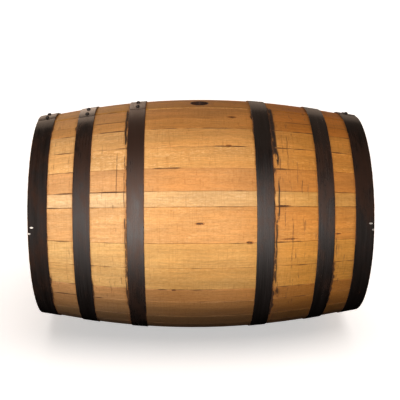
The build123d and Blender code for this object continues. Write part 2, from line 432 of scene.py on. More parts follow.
class Oak(Look):
    """Quarter-sawn oak. The piece's colour sets its tone, and its alpha how much ray fleck it shows.

    It reads the mesh's fields. Each holds three parts:
    grain: along, across and depth, in metres
    wear: distance to the nearest joint in metres, dark stain by a hoop, density of cross scratches
    marks: signed distance to the nearest stroke over its half width, its strength, dirt in the joint (below 0
    for a pale edge, partly a painted highlight)
    spot: distance along and across from the nearest knot over its size, and a guard, 0 near the knot"""

    def __init__(self, name, gloss, layers):
        super().__init__(bpy.data.materials.new(name))
        self.grain = self.field("grain")
        self.along, self.across, self.depth = self.parts(self.grain)
        self.joint, self.stain, self.scratched = self.parts(self.field("wear"))
        self.stroke, self.stroke_dark, self.joint_dirt_and_highlight = self.parts(self.field("marks"))
        self.point = self.place()
        self.x, self.y, self.z = self.parts(self.point)
        info = self.add("ObjectInfo", {}).outputs
        self.figured = info["Alpha"]
        self.find_grain()
        colour = info["Color"]
        for layer in layers:
            colour = layer(self, colour)
        self.surface("Base Color", colour)
        self.finish(gloss)

    def find_grain(self):
        """The noises that several layers share. Growth rings bend and drift across the stave."""
        bend = (self.noise(self.grain, (6, 14, 14)) - 0.5) * 0.022
        self.bent = self.vector(self.along, self.across + bend, self.depth)
        self.rings = self.noise(self.bent, (9, 270, 60), 4, 0.6)
        self.broad = self.noise(self.grain, (4, 26, 12), 3, 0.6)
        self.mottle = self.noise(self.bent, (95, 190, 60), 4, 0.66)
        self.pores = self.step(self.noise(self.bent, (110, 1700, 1700)), 0.60, 0.70)
        self.chatter = self.noise(self.grain, (380, 7, 1), 3, 0.7)
        self.lines = self.noise(self.point, (180, 28, 28), 2, 0.55)
        self.ragged = self.noise(self.point, (150, 30, 30), 5, 0.7) - 0.5
        self.off = abs(self.stroke + self.ragged * 1.2)

    def growth(self, colour):
        """Growth rings and broad bands."""
        fine = self.noise(self.bent, (38, 820, 400), 2, 0.6)
        colour = self.scaled(colour, self.step(self.rings, 0.3, 0.7, 0.90, 1.08))
        colour = self.scaled(colour, self.step(fine, 0.3, 0.7, 0.93, 1.06))
        return self.scaled(colour, self.step(self.broad, 0.3, 0.7, 0.86, 1.12))

    def weather(self, colour):
        """Warm patches, and mottling where the finish has worn."""
        self.patches = self.noise(self.grain, (4, 13, 5))
        colour = self.tint(colour, self.step(self.patches, 0.35, 0.7, 0.0, 0.5), WARM_PATCH)
        colour = self.tint(colour, self.step(self.mottle, 0.55, 0.28), WORN_DARK)
        return self.tint(colour, self.step(self.mottle, 0.48, 0.72), WORN_PALE)

    def tool_marks(self, colour):
        """Ripples of the plane, flecks of the rays that it cut at a slant, pores and nicks."""
        planed = self.step(self.patches, 0.58, 0.40, 0.2, 1.0)
        colour = self.tint(colour, self.step(self.chatter, 0.55, 0.35) * planed, PLANED)
        rays = self.vector(self.along + self.across * 0.55, self.across, self.depth)
        fleck = self.step(self.noise(rays, (75, 300, 1), 2, 0.5, 0.9), 0.52, 0.62)
        figure = self.step(self.noise(self.grain, (9, 30, 9)), 0.35, 0.62, 0.0, 0.9)
        colour = self.tint(colour, fleck * figure * self.figured, FLECK)
        colour = self.tint(colour, self.pores * 0.45, PORE)
        return self.tint(colour, self.step(self.lines, 0.38, 0.28, 0.0, 0.35), NICK)

    def painted_sheen_and_tan(self, colour):
        """Painted sheen: the wood is paler and bluer to the left, standing in for glare and stronger light
        there. It is tanned to the right.
        """
        colour = self.tint(colour, self.step(self.x, -0.05, -0.26), PAINTED_SHEEN_LEFT)
        return self.tint(colour, self.step(self.x, 0.05, 0.30), TANNED_RIGHT)

    # Painted shade: the wood darkens from z = -0.10 down to z = -0.235, for the shade under the barrel
    def painted_underside_shade(self, colour):
        return self.tint(colour, self.step(self.z, -0.10, -0.235), PAINTED_UNDERSIDE_SHADE)

    def scratches(self, colour):
        """Thin dark lines that run round the barrel."""
        where = self.step(self.noise(self.point, (16, 12, 12)), 0.42, 0.62)
        self.cut = self.step(self.lines, 0.62, 0.68) * where * self.scratched
        return self.blend(self.cut * 0.80, colour, SCRATCH_DIRT)

    def smears(self, colour):
        """Rust round the strokes."""
        smear = self.step(self.off, 5.0, 0.5) * self.stroke_dark * 0.40
        return self.blend(smear * (self.ragged + 0.6), colour, RUST_STAIN)

    def hoop_stains(self, colour):
        """Rusty haze and black iron stain beside the hoops."""
        haze = self.step(self.stain + self.ragged * 0.7, 0.10, 1.0, 0.0, 0.65)
        colour = self.blend(haze, colour, RUST_STAIN)
        black = self.step(self.stain + self.ragged * 1.5, 0.66, 0.90, 0.0, 0.90)
        return self.blend(black, colour, DARK_STAIN)

    def strokes(self, colour):
        """The dark strokes. The fainter they are, the more they are broken up."""
        held = self.noise(self.point, (150, 75, 75), 3, 0.65) + (self.stroke_dark - 0.75) * 0.5
        drawn = self.step(self.off, 1.8, 0.3) * self.stroke_dark * self.step(held, 0.40, 0.50)
        ink = self.blend(self.step(self.stroke_dark, 0.6, 0.95), LINE_STAIN, BLACK_STAIN)
        return self.blend(self.math("MINIMUM", drawn, 0.97), colour, ink)

    def joints(self, colour):
        """Dirt in the joints, or, where the dirt is negative, a pale edge: worn raw wood and a painted
        highlight along the arris.
        """
        dirty = self.noise(self.grain, (45, 3, 3), 4, 0.65) + self.joint_dirt_and_highlight * 0.5
        close = 1.0 - self.joint / self.step(dirty, 0.45, 1.1, 0.35 * MM, 2.8 * MM)
        seam = self.step(close, 0.0, 0.7) * self.step(self.joint_dirt_and_highlight, 0.0, 1.2, 0.06, 1.0)
        colour = self.blend(seam, colour, JOINT_DIRT)
        # Painted highlight: a pale line along the bung stave's edge, partly worn raw wood
        pale_edge_and_highlight = self.step(self.joint, 4.2 * MM, 2.6 * MM) * self.step(self.joint_dirt_and_highlight, -0.2, -0.7)
        pale_edge_and_highlight = pale_edge_and_highlight * self.step(self.ragged, -0.15, 0.15, 0.2, 0.65)
        return self.blend(pale_edge_and_highlight, colour, PALE_EDGE_AND_HIGHLIGHT)

    def knots(self, colour):
        """Ragged dark knots in a brown halo."""
        near = self.step(self.length(self.field("spot")), 1.0, 0.35)
        edge = self.noise(self.point, (170, 420, 420), 3, 0.7) - 0.5
        knot = self.step(near + edge * 2.4, 0.55, 1.1, 0.0, 0.93) * self.step(near, 0.02, 0.30)
        colour = self.tint(colour, self.step(near, 0.0, 0.6), KNOT_HALO)
        return self.blend(knot, colour, KNOT)

    def bung_stains(self, colour):
        """Wine in the rim of the bung hole, and spilt round it."""
        from_hole = self.math("SQRT", self.x * self.x + self.y * self.y)
        on_top = self.step(self.z, 0, 0.1)
        soaked = self.step(from_hole, BUNG_HOLE_R + 2.5 * MM, BUNG_HOLE_R + 0.8 * MM, 0.0, 0.95)
        colour = self.blend(soaked * on_top, colour, WINE_STAIN)
        spilt = self.step(from_hole, BUNG_HOLE_R + 26 * MM, BUNG_HOLE_R, 0.0, 0.45) * on_top
        uneven = self.step(self.broad + self.ragged, 0.35, 0.65)
        return self.blend(spilt * uneven, colour, SPILT_WINE)

    def toast(self, colour):
        """The charred inside. The bung is as dark all through."""
        toasted = self.step(self.depth, STAVE_T - 1.2 * MM, STAVE_T - 0.4 * MM, 0.0, 0.92)
        return self.blend(toasted, colour, TOAST)

    def finish(self, gloss):
        """The waxed finish, and the relief of the rings, tool marks, pores and scratches."""
        self.surface("Specular IOR Level", 0.26)
        self.surface("Roughness", self.step(self.rings, 0.3, 0.7, gloss, gloss + 0.1) + self.stain * 0.1)
        height = self.rings * 0.35 + self.chatter * 0.30 + self.mottle * 0.15
        self.bump(height - (self.pores * 0.35 + self.cut * 0.8), 0.45 * MM)


# Chips in the head hoops' finish: side (-1 left, 1 right), angle, distance in from the barrel's end
CHIPS = [(-1, 166.9, 13 * MM), (-1, 170.2, 5 * MM), (1, 165.8, 12 * MM), (1, 169.2, 4 * MM)]
CHIP_SIZE = (8 * MM, 3.6 * MM, 3.6 * MM)

BLACK = (0.009, 0.0065, 0.0055)
GREYER = (0.017, 0.013, 0.012)
STREAK = (0.032, 0.028, 0.027)
SCALE = (0.030, 0.014, 0.009)
RUST = (0.15, 0.060, 0.025)
BARE = (0.46, 0.42, 0.38)
CLEAN_SHINE = (1.0, 0.93, 0.90)
SCALY_SHINE = (1.0, 0.74, 0.64)


class Steel(Look):
    """Blackened rolled strip. The piece's colour sets how much it shines.

    The mesh's strip field is (along, across, height) in metres, and its wear field is (distance to the
    nearest edge in metres, brown scale from 0 to 1, polish from 0 to 1)."""

    def __init__(self, name):
        super().__init__(bpy.data.materials.new(name))
        strip = self.field("strip")
        self.edge, self.brown, self.polish = self.parts(self.field("wear"))
        self.point = self.place()
        self.streaks = self.noise(strip, (7, 620, 0), 3, 0.6)
        self.wide = self.noise(strip, (3.5, 90, 0), 3, 0.6)
        self.blotch = self.noise(strip, (16, 40, 0), 4, 0.65)
        self.specks = self.noise(self.point, (900, 900, 900), 2, 0.6)
        self.scale = self.step(self.brown + (self.blotch - 0.5) * 1.3, 0.35, 0.9)
        self.rust = self.step(self.step(self.edge, 3.5 * MM, 0.0, 0.0, 0.30) + self.blotch, 0.70, 0.85)
        self.bare = self.math("MAXIMUM", self.worn_edges(), self.chips())
        self.surface("Base Color", self.colour())
        self.surface("Metallic", self.step(self.bare, 0.2, 1.0, 0.0, 0.5))
        self.finish()

    def worn_edges(self):
        """Specks where an edge has lost its finish."""
        by_edge = self.step(self.edge, 1.3 * MM, 0.2 * MM, 0.0, 0.18)
        return self.step(by_edge + self.specks, 0.78, 0.86)

    def chips(self):
        """The chips in the head hoops' finish, with ragged edges."""
        nearest = 9.0
        for side, angle, from_end in CHIPS:
            x = side * (HALF - from_end)
            away = self.vector_math("SUBTRACT", self.point, tuple(around(x, angle, outside_r(x))))[0]
            distance = self.length(self.vector_math("DIVIDE", away, CHIP_SIZE)[0])
            nearest = self.math("MINIMUM", nearest, distance)
        return self.step(self.step(nearest, 1.0, 0.35) * (self.specks + 0.4), 0.18, 0.30)

    def colour(self):
        """Black with grey streaks, brown scale, rust and bare metal."""
        colour = self.blend(self.step(self.wide, 0.3, 0.7), BLACK, GREYER)
        colour = self.blend(self.step(self.streaks, 0.5, 0.75, 0.0, 0.55), colour, STREAK)
        colour = self.blend(self.scale * 0.75, colour, SCALE)
        colour = self.blend(self.rust * 0.7, colour, RUST)
        return self.blend(self.bare, colour, BARE)

    def finish(self):
        """Polished streaks, dull scale and rust, and a little relief."""
        dull = self.math("MAXIMUM", self.scale, self.rust)
        rough = self.step(self.streaks, 0.25, 0.75, 0.16, 0.28) + dull * 0.16
        self.surface("Roughness", rough - self.polish * 0.06)
        shine = self.parts(self.add("ObjectInfo", {}).outputs["Color"])[0]
        self.surface("Specular IOR Level", shine * self.step(self.edge, 0.2 * MM, 2.0 * MM, 0.25, 1.0) * 0.60)
        self.surface("Specular Tint", self.blend(self.scale, CLEAN_SHINE, SCALY_SHINE))
        self.bump(self.streaks + self.blotch * 0.4 - self.bare * 0.5, 0.30 * MM)


BARE_OAK = (Oak.growth, Oak.weather, Oak.tool_marks)
STAVE = (Oak.painted_sheen_and_tan, Oak.painted_underside_shade, Oak.scratches, Oak.smears, Oak.hoop_stains, Oak.strokes)
STAVE += (Oak.joints, Oak.knots, Oak.bung_stains, Oak.toast)
BOARD = (Oak.painted_sheen_and_tan, Oak.scratches, Oak.hoop_stains, Oak.joints)
BUNG = (Oak.scratches, Oak.hoop_stains, Oak.bung_stains, Oak.toast)
stave_oak = Oak("stave_oak", 0.48, BARE_OAK + STAVE).owner
head_oak = Oak("head_oak", 0.5, BARE_OAK + BOARD).owner
bung_wood = Oak("bung_wood", 0.75, BARE_OAK + BUNG).owner
hoop_steel = Steel("hoop_steel").owner
rivet_steel = Steel("rivet_steel").owner

# ---------------- staves

HONEY = (0.55, 0.270, 0.084)
STRAW = (0.555, 0.328, 0.134)
TAN = (0.62, 0.315, 0.096)
WHEAT = (0.60, 0.32, 0.094)
AMBER = (0.51, 0.240, 0.075)
BROWN = (0.49, 0.215, 0.046)
OCHRE = (0.555, 0.252, 0.064)
RUSSET = (0.49, 0.213, 0.024)
# Tone and ray fleck of the staves, from the bung stave round to the front and on
TONES = [
    (RUSSET, 0.2), (OCHRE, 0.3), (OCHRE, 0.3), (TAN, 0.5), (TAN, 1.0), (AMBER, 0.3), (STRAW, 0.5),
    (HONEY, 0.6), (WHEAT, 0.3), (WHEAT, 0.4), (AMBER, 0.2), (AMBER, 0.3), (HONEY, 0.3), (AMBER, 0.6),
    (HONEY, 0.3), (BROWN, 0.8), (TAN, 0.2), (OCHRE, 0.6), (HONEY, 0.3), (AMBER, 0.5), (TAN, 0.9),
    (AMBER, 0.3), (HONEY, 0.4), (STRAW, 0.5), (WHEAT, 0.8), (OCHRE, 0.3), (AMBER, 0.2), (TAN, 0.3),
    (BROWN, 0.5), (TAN, 0.6), (OCHRE, 0.3), (AMBER, 0.8),
]  # fmt: skip

ARRIS = 1.5 * MM
FLATTEN = 0.55  # a stave's outside is flatter than the barrel is round, by this share
EDGE_SPOTS = [0, 0.35 * MM, 0.8 * MM, 1.5 * MM, 2.8 * MM, 5 * MM]
HOOP_SPOTS = [0, 1.2 * MM, 2.5 * MM, 4.5 * MM, 7 * MM, 10 * MM]
CHIME_ROUND = 2.4 * MM
BUNG_STAVE_WORN = 1.3 * MM
INNER_COLUMNS = 6
NO_KNOT = 9.0

hoop_names = [n for n in nodes if n.endswith("_hoop")]
hoop_spans = {n: (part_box(n)[0].x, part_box(n)[1].x) for n in hoop_names}

# Stain beside a hoop: its edge (0 left, 1 right), first and last angle, strength, reach along X.
# Over 0.8 it is black iron stain; below that it is a rusty haze.
STAINS = [
    ("left_bilge", 0, 96, 212, 0.75, 7),
    ("left_bilge", 0, 98, 116, 1.20, 4),
    ("left_bilge", 0, 196, 216, 1.10, 5),
    ("left_bilge", 1, 98, 150, 0.50, 3),
    ("right_bilge", 0, 98, 140, 0.80, 4),
    ("right_bilge", 0, 99, 111, 1.20, 4),
    ("right_bilge", 1, 92, 230, 0.80, 8),
    ("right_bilge", 1, 94, 133, 1.60, 8),
    ("right_bilge", 1, 196, 222, 1.40, 7),
    ("left_quarter", 0, 98, 215, 0.60, 6),
    ("left_quarter", 0, 104, 114, 1.15, 5),
    ("left_quarter", 1, 140, 216, 0.55, 5),
    ("left_quarter", 1, 192, 214, 1.00, 4),
    ("right_quarter", 0, 98, 215, 0.55, 5),
    ("right_quarter", 1, 100, 215, 0.60, 6),
    ("right_quarter", 1, 184, 216, 1.35, 6),
    ("left_head", 1, 96, 212, 0.65, 6),
    ("left_head", 1, 98, 112, 1.10, 5),
    ("left_head", 1, 192, 214, 1.15, 6),
    ("right_head", 0, 98, 215, 0.60, 5),
    ("left_bilge", 0, 216, 456, 0.75, 6),
    ("left_bilge", 0, 290, 340, 1.30, 6),
    ("right_bilge", 1, 230, 452, 0.75, 6),
    ("right_bilge", 1, 370, 410, 1.30, 6),
    ("left_quarter", 1, 216, 500, 0.60, 6),
    ("right_quarter", 0, 215, 458, 0.65, 6),
    ("left_head", 1, 212, 456, 0.70, 6),
    ("right_head", 0, 215, 458, 0.70, 6),
]
STAINS = metres(STAINS, 5)


def stations():
    """X of every ring of points along a stave, closer together by the hoops and the ends."""
    spots = list(np.arange(-HALF, HALF, 5.5 * MM))
    for low, high in hoop_spans.values():
        for away in HOOP_SPOTS:
            spots += [low - away, high + away]
    for side in (-1, 1):
        for x in (HALF, HALF - 0.5 * MM, HALF - 1.2 * MM, HALF - CHIME_ROUND, HALF - CHIME_BEVEL):
            spots.append(side * x)
        for away in (CROZE_MOUTH / 2, CROZE_FLOOR / 2):
            spots += [side * (CROZE_X - away), side * (CROZE_X + away)]
    spots = sorted(x for x in spots if -HALF <= x <= HALF)
    kept = [spots[0]]
    for x in spots[1:-1]:
        if x - kept[-1] > 0.3 * MM:
            kept.append(x)
    return np.array(kept + [spots[-1]])


def bump_at(distance, size):
    """A soft round hump of height 1."""
    return np.exp(-((distance / size) ** 2) * 2)


def within(angle, first, last, soft):
    """1 between two angles, fading to 0 over this many degrees at both."""
    beyond = np.abs(degrees_apart(angle, (first + last) / 2)) - (last - first) / 2
    return np.clip(0.5 - beyond / soft, 0, 1)


def hoop_stain(x, angle):
    """How strong the stain beside the hoops is."""
    total = np.zeros(np.broadcast(x, angle).shape)
    for number, (hoop, edge, first, last, strength, reach) in enumerate(STAINS):
        away = (x - hoop_spans[hoop + "_hoop"][edge]) * (1 if edge else -1)
        ragged = 1 + 0.45 * wander(angle, 50 + number, 5, 9, 23)
        fade = np.exp(-((np.maximum(away, 0) / (reach * ragged)) ** 1.6))
        level = strength * within(angle, first, last, 8) * fade
        total = np.maximum(total, np.where(away > -2 * MM, level, 0))
    return total


# Cross scratches are denser in some bays between the hoops: x, and how dense
SCRATCHES_AT = [-0.45, -0.40, -0.34, -0.28, -0.24, -0.20, -0.14, 0.13, 0.19, 0.24, 0.30, 0.34, 0.40, 0.45]
SCRATCH_LEVELS = [0.30, 0.45, 0.50, 0.45, 0.55, 0.75, 0.12, 0.14, 0.90, 0.75, 0.60, 0.75, 0.45, 0.30]

BUNG_SEED = 1000
SUNK = {BUNG_SEED + 10: 0.9 * MM}  # stave_02 lies a little lower than its neighbours


def carve(x, e, angle, seed, width):
    """How far a stave's outside is worn in from the CAD's, at a distance e from its nearest joint."""
    ease = ARRIS * (1 + 0.45 * wander(x, seed, 0.05, 0.13, 0.31))
    if seed == BUNG_SEED:
        ease = ease + BUNG_STAVE_WORN
    inside = np.clip(1 - e / ease, 0, 1)
    rounding = ease * (1 - np.sqrt(1 - inside**2))
    flat = FLATTEN * e * (width - e) / (2 * outside_r(x))
    rng = np.random.default_rng(seed)
    step = rng.uniform(0, 0.45 * MM) * (1 + 0.4 * wander(x, seed + 1, 0.4, 0.9)) + SUNK.get(seed, 0)
    end = np.clip(1 - (HALF - np.abs(x)) / CHIME_ROUND, 0, 1)
    chime = 2.0 * MM * (1 - np.sqrt(1 - end**2 * 0.98)) * (1 + 0.5 * wander(angle, seed + 2, 1.5, 4))
    return rounding + flat + step + chime


def stroke_side(at):
    """1 or -1, changing from one group of strokes to the next along X."""
    xs = sorted(stroke[0] for stroke in STROKES)
    groups = sum(b - a > 7.5 * MM for a, b in zip(xs, xs[1:]) if b <= at)
    return 1 if groups % 2 else -1


def stroke_field(x, angle):
    """Distance to the nearest stroke over its half width, and how dark the stroke is here.

    The distance's sign swaps between neighbouring strokes, so that it isn't 0 anywhere between them."""
    shape = np.broadcast(x, angle).shape
    offset, dark, nearest = np.zeros(shape), np.zeros(shape), np.full(shape, 1.0)
    for number, (at, first, last, half, strength, sway) in enumerate(STROKES):
        fade = within(angle, first, last, 5)
        away = x - at - sway * wander(angle, 70 + number, 40, 9)
        reach = max(11 * MM, 3 * half + 5 * MM)
        local = strength * np.sqrt(fade) * np.clip(2 - 2 * np.abs(away) / reach, 0, 1)
        better = (fade > 0) & (np.abs(away) < nearest)
        signed = stroke_side(at) * away / (half * (0.3 + 0.7 * fade))
        offset, dark = np.where(better, signed, offset), np.where(better, local, dark)
        nearest = np.where(better, np.abs(away), nearest)
    return offset, dark


BAY_MIDDLE = -5 * MM  # halfway between the bilge hoops

# Joints that are darker over part of their length: angle, first and last x
DARK_JOINTS = [
    (98.4, -0.14, 0.13), (116.9, -0.14, 0.13), (128.0, 0.00, 0.13), (139.3, -0.13, -0.05),
    (157.2, -0.02, 0.13), (98.4, -0.33, -0.21), (109.4, -0.30, -0.18), (109.4, 0.18, 0.31),
    (116.9, -0.27, -0.18), (116.9, 0.18, 0.31), (128.0, 0.18, 0.30), (139.3, 0.19, 0.25),
    (150.0, -0.39, -0.19), (173.6, 0.06, 0.12), (173.6, 0.19, 0.26), (157.2, 0.19, 0.24),
    (197.4, -0.12, 0.05), (205.4, -0.39, -0.26), (128.0, -0.40, -0.33),
]  # fmt: skip


def joint_dirt(x, angle, seed):
    """How dark the joint at an angle is, along its length."""
    outer_bays = np.clip((np.abs(x - BAY_MIDDLE) - 0.14) / 0.05, 0, 1)
    level = 0.18 + 0.25 * outer_bays + 0.30 * wander(x, seed, 0.05, 0.12, 0.3)
    for at, first, last in DARK_JOINTS:
        if abs(degrees_apart(angle, at)) < 1.2:
            level = level + 0.45 * np.clip(np.minimum(x - first, last - x) / 0.012, 0, 1)
    return np.clip(level, 0, 1.2)


def from_knot(x, angle, x_at, at_angle):
    """How far along and across from a knot a point is, in metres."""
    return x - x_at, np.radians(degrees_apart(angle, at_angle)) * BILGE_R


def knot_field(x, angle):
    """How far along and across the nearest knot is, over its size, and a guard.

    The guard grows from 0 a little way along from the knot: nothing between two knots may look like one."""
    shape = np.broadcast(x, angle).shape
    along, across, guard, nearest = (np.full(shape, 9.0) for _ in range(4))
    for *place, length, height in KNOTS:
        dx, ds = from_knot(x, angle, *place)
        dx, ds = dx / length, ds / height
        better = np.hypot(dx, ds) < nearest
        along, across = np.where(better, dx, along), np.where(better, ds, across)
        guard = np.where(better, 9 * np.clip(np.abs(dx) - 1.2, 0, 1), guard)
        nearest = np.where(better, np.hypot(dx, ds), nearest)
    return along, across, guard


def knot_dips(x, angle):
    """How far the surface sinks at the knots."""
    total = np.zeros(np.broadcast(x, angle).shape)
    for *place, length, height in KNOTS:
        along, across = from_knot(x, angle, *place)
        total = total + 0.5 * MM * bump_at(along, length) * bump_at(across, height * 1.2)
    return total


def dents(x, across, width, rng):
    """How far the surface sinks at a few dents, mostly by the hoops."""
    total = np.zeros(across.shape)
    for _ in range(rng.integers(3, 7)):
        low, high = hoop_spans[hoop_names[rng.integers(len(hoop_names))]]
        x_at = rng.choice([low - 1 * MM, high + 1 * MM]) + rng.normal(0, 3 * MM)
        at = rng.uniform(0.1, 0.9) * width
        dip = bump_at(x - x_at, rng.uniform(2, 5) * MM)
        dip = dip * bump_at(across - at, rng.uniform(3, 9) * MM)
        total = total + rng.uniform(0.3, 0.9) * MM * dip
    return total


def stave_span(node):
    """A CAD stave's first angle and how far it goes round, in degrees."""
    points = cad_points(node)
    middle = degrees(atan2(points[:, 2].mean(), points[:, 1].mean()))
    angles = degrees_apart(np.degrees(np.arctan2(points[:, 2], points[:, 1])), middle)
    return middle + angles.min(), np.ptp(angles)


def stave_columns(width):
    """Where the columns of points lie across a stave, as shares of its width."""
    edge = np.array(EDGE_SPOTS) / width
    count = max(3, round((width - 2 * EDGE_SPOTS[-1]) / (7 * MM)))
    middle = np.linspace(edge[-1], 1 - edge[-1], count + 1)[1:-1]
    return np.concatenate([edge, middle, 1 - edge[::-1]])[None, :]


def stave_dirt_and_highlight(x, share, start, sweep, number):
    """How dark the joint nearest each point is. Below 0 it draws a pale edge, partly a painted highlight."""
    first = joint_dirt(x, start, 2000 + number)
    last = joint_dirt(x, start + sweep, 2001 + number)
    if number == 0:  # the bung stave's front edge is pale between the bilge hoops: worn, and a painted highlight along its arris
        last = last - 2.5 * (np.abs(x - BAY_MIDDLE) < 0.135)
    return np.where(share < 0.5, first, last)


def make_stave(node, number):
    """One stave with eased, worn edges, a flattened back and the marks the hoops leave."""
    start, sweep = stave_span(node)
    seed = BUNG_SEED + number * 10
    rng = np.random.default_rng(seed + 5)
    xs = stations()[:, None]
    bilge_width = radians(sweep) * BILGE_R
    share = stave_columns(bilge_width)
    angle = start + share * sweep
    width = radians(sweep) * outside_r(xs)
    across = share * width
    e = np.minimum(across, width - across)
    depth = carve(xs, e, angle, seed, width) + knot_dips(xs, angle)
    depth = depth + dents(xs, across, bilge_width, rng)
    offset = np.append(rng.uniform(-9, 9, 2), 0)
    outer = around(xs, angle, outside_r(xs) - depth)
    outside = {
        "grain": vectors(xs, across, depth) + offset,
        "wear": vectors(e, hoop_stain(xs, angle), np.interp(xs, SCRATCHES_AT, SCRATCH_LEVELS)),
        "marks": vectors(*stroke_field(xs, angle), stave_dirt_and_highlight(xs, share, start, sweep, number)),
        "spot": vectors(*knot_field(xs, angle)),
    }
    share = np.linspace(1, 0, INNER_COLUMNS + 1)[None, :]
    across = share * radians(sweep) * inside_r(xs)
    inner = around(xs, start + share * sweep, inside_r(xs))
    toasted = np.abs(xs) < CROZE_X - CROZE_MOUTH / 2
    depth = np.where(toasted, STAVE_T, 0.8 * (outside_r(xs) - inside_r(xs)))
    inside = {
        "grain": vectors(xs, across, depth) + offset,
        "wear": vectors(0.02 + 0 * across, 0, 0),
        "marks": np.zeros(inner.shape),
        "spot": np.full(inner.shape, NO_KNOT),
    }
    fields = {name: np.concatenate([outside[name], inside[name]], 1) for name in outside}
    return tube(np.concatenate([outer, inner], 1), fields)


stave_nodes = sorted(n for n in nodes if n.startswith("stave_") or n == "bung_stave")
for number, node in enumerate(stave_nodes):
    piece(f"{node}_oak", make_stave(node, number), node, stave_oak, *TONES[number])

# ---------------- hoops


def strip_section(width):
    """Corners of a strip's rounded section as (across, height), from its inside round its edges."""
    ease = 0.6 * MM
    half = width / 2 - ease
    section = [(c * half, 0) for c in (-1, -0.5, 0, 0.5, 1)]
    turns = np.radians([-50, -10, 30, 70])
    section += [(half + ease * cos(t), HOOP_T / 2 * (1 + sin(t))) for t in turns]
    section += [(c * half, HOOP_T) for c in (1, 0.85, 0.5, 0, -0.5, -0.85, -1)]
    section += [(-half - ease * cos(t), HOOP_T / 2 * (1 + sin(t))) for t in turns[::-1]]
    return np.array(section)


def lap_angle(hoop):
    """The middle of a hoop's lap, in degrees."""
    middle = cad_points(hoop + "_rivets").mean(0)
    return degrees(atan2(middle[2], middle[1]))


def make_hoop(node, number):
    """One hoop: a strip that goes once round and ends in a lap over its own start."""
    low, high = hoop_spans[node]
    x, width = (low + high) / 2, high - low
    whole = 360 + LAP_DEG
    tips = np.degrees(np.array([0.4, 1.2, 2.6, 4.6]) * MM / BILGE_R)
    turns = np.unique(np.concatenate([np.arange(0, whole, 1.5), [whole], tips, whole - tips]))[:, None]
    angle = lap_angle(node) - LAP_DEG / 2 + turns
    lift = LAP_LIFT * np.clip((turns - 360 + RAMP_DEG + RAMP_CLEAR_DEG) / RAMP_DEG, 0, 1)
    to_start, to_end = np.radians(turns) * BILGE_R, np.radians(whole - turns) * BILGE_R
    corner = np.clip(1 - np.minimum(to_start, to_end) / LAP_CORNER, 0, 1)
    pinch = 1 - (1 - np.sqrt(1 - corner**2)) * 2 * LAP_CORNER / width
    thinned = 1 - LAP_THINNING * np.clip(1 - to_end / LAP_THINNED, 0, 1)
    section = strip_section(width)
    across = section[:, 0] * pinch
    height = section[:, 1] * thinned
    sway = 0.25 * MM * wander(angle, 300 + number, 45, 90) * np.abs(2 * across / width)
    rise = 0.12 * MM * (1 + wander(angle, 320 + number, 30, 72)) / 2
    at_x = x + across - sway * np.sign(across)
    r = outside_r(x) + HOOP_FIT + outside_slope(x) * across + height + lift + rise
    rings = around(at_x, angle, r)
    edge = width / 2 * pinch - np.abs(across)
    along = np.radians(turns) * outside_r(x)
    brown = HOOP_BROWN.get(node, 0.25) + 0.35 * np.cos(np.radians(angle - 135))
    brown = brown + 0.15 * wander(angle, 340 + number, 70, 140)
    polish = 0.5 + 0.5 * wander(angle, 360 + number, 50, 110)
    strip = vectors(along + number * 3.1, across, height)
    return tube(rings, {"strip": strip, "wear": vectors(edge, brown, polish)})


def make_rivets(node, number):
    """The two rivets of one lap: hammered domes outside, flush tails inside."""
    hoop = node[: -len("_rivets")]
    low, high = hoop_spans[hoop]
    x = (low + high) / 2
    face_r = outside_r(x) + HOOP_FIT + LAP_LIFT + HOOP_T
    depth = (2 * HOOP_T + HOOP_FIT) / hypot(1, outside_slope(x))
    half_pitch = degrees(RIVET_PITCH / 2 / face_r)
    profile = [(0.0002 * MM, -depth), (RIVET_TAIL_R * 0.5, -depth), (RIVET_TAIL_R, -depth)]
    profile += [(RIVET_R, -depth + RIVET_TAIL_H), (RIVET_R, 0.05 * MM), (RIVET_HEAD_R * 0.96, 0.02 * MM)]
    for turn in np.radians([4, 16, 30, 45, 60, 75, 88]):
        profile.append((RIVET_HEAD_R * cos(turn) ** 0.8, DOME_H * sin(turn)))
    shells = []
    for which, side in enumerate((-1, 1)):
        turn = radians(lap_angle(hoop) + side * half_pitch)
        out = Vector((-outside_slope(x), cos(turn), sin(turn))).normalized()
        across = Vector((0, -sin(turn), cos(turn)))
        origin = Vector((x, face_r * cos(turn), face_r * sin(turn)))
        spin = np.radians(np.arange(0, 360, 15))
        rings = []
        for radius, height in profile:
            hammered = 1 + 0.05 * wander(np.degrees(spin), 500 + number * 2 + which, 120, 360) * (height > 0)
            reach = (radius * hammered)[:, None]
            turned = np.outer(np.cos(spin), across) + np.outer(np.sin(spin), out.cross(across))
            rings.append(np.array(origin + out * height) + turned * reach)
        rings = np.array(rings)
        strip = np.array([number, which, 0.0]) + (rings - np.array(origin)) * 0.5
        shells.append(tube(rings, {"strip": strip, "wear": np.full(rings.shape, (0.01, 0.45, 0.6))}))
    return joined(shells)


HOOP_SHINE = {
    "left_head_hoop": 0.09,
    "left_quarter_hoop": 0.43,
    "left_bilge_hoop": 0.78,
    "right_bilge_hoop": 0.78,
    "right_quarter_hoop": 0.9,
    "right_head_hoop": 0.27,
}
RIVET_SHINE = 0.45
HOOP_BROWN = {"left_bilge_hoop": 0.50, "right_bilge_hoop": 0.05}
for number, node in enumerate(sorted(hoop_names)):
    piece(f"{node}_steel", make_hoop(node, number), node, hoop_steel, [HOOP_SHINE[node]] * 3)
    rivets = node + "_rivets"
    piece(f"{rivets}_steel", make_rivets(rivets, number), rivets, rivet_steel, [RIVET_SHINE] * 3)

# ---------------- heads


